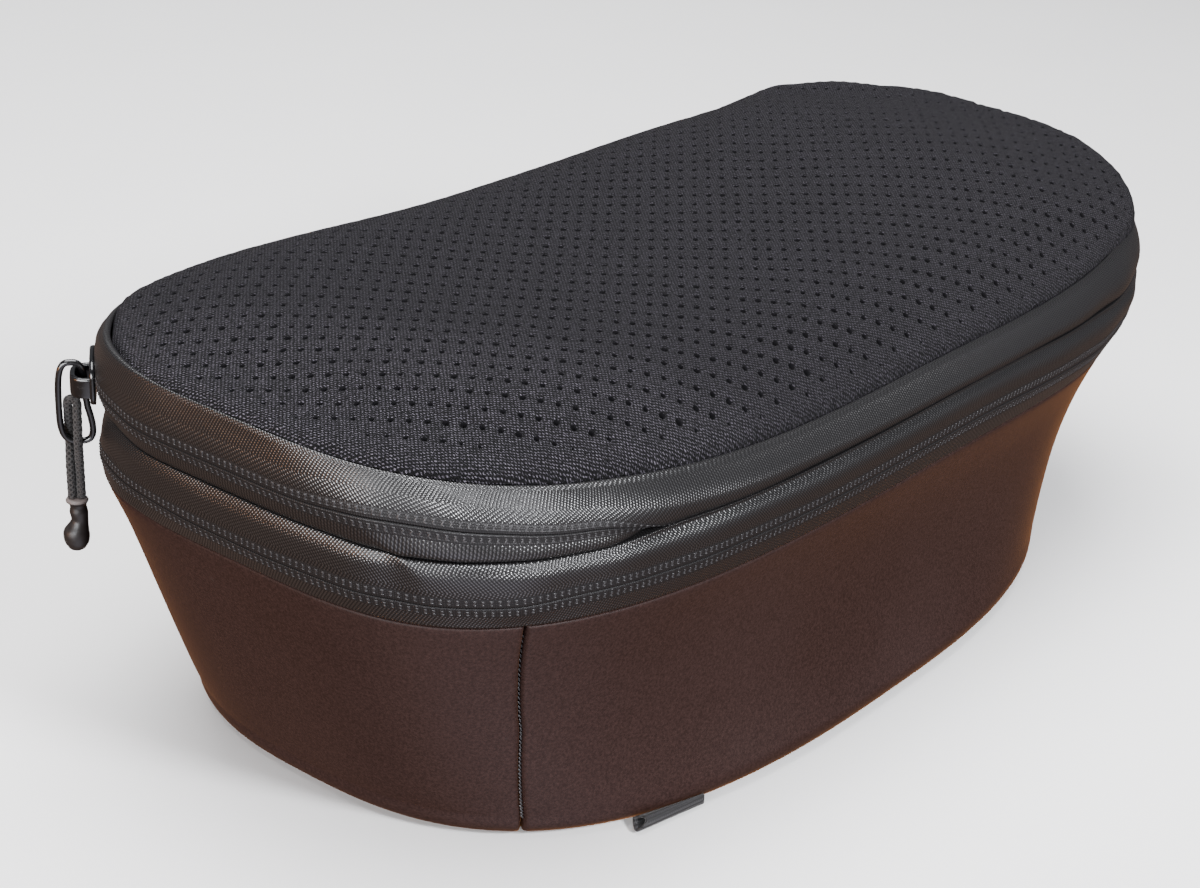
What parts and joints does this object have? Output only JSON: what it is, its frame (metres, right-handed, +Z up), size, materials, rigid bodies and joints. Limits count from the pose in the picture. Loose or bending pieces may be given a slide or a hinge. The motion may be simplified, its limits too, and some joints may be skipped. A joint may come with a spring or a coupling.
{
  "type": "camera bag",
  "caption": "Compact soft camera bag lying on its front, with a padded air-mesh back panel, zipped bands round the rim, tapered shell, webbing loop and a cord zip pull on a wire ring.",
  "frame": {"origin": "on the floor under the middle of the bag, at the underside of the base panel", "axes": "+X along the length towards the end without the zip pull, +Y across the width, +Z up through the mesh back panel"},
  "size_m": [0.3208, 0.163, 0.1073],
  "materials": {
    "air_mesh": "knitted spacer mesh",
    "twill": "tight twill with a slight sheen",
    "zip_tape": "ribbed reverse coil tape",
    "coated_shell": "fine matt grain, coated",
    "webbing": "ribbed weave",
    "black_metal": "gloss black",
    "cord": "braided",
    "cord_rubber": "satin moulded"
  },
  "bodies": {
    "bag": {"back_panel": "air_mesh", "upper_band": "twill", "upper_zip": "zip_tape", "middle_band": "twill", "lower_band": "twill", "lower_zip": "zip_tape", "lower_trim": "twill", "shell_end_panel": "coated_shell", "shell_side_panel": "coated_shell", "base_panel": "coated_shell", "webbing_loop": "webbing", "zip_slider": "black_metal"},
    "pull": {"pull_ring": "black_metal", "pull_cord": "cord", "cord_end": "cord_rubber"}
  },
  "joints": [
    {"name": "pull_swing", "type": "hinge", "parent": "bag", "child": "pull", "pos_m": [-0.1478, 0.04621, 0.0907], "axis": [0, 0, 1], "range_deg": [-60, 60]}
  ]
}
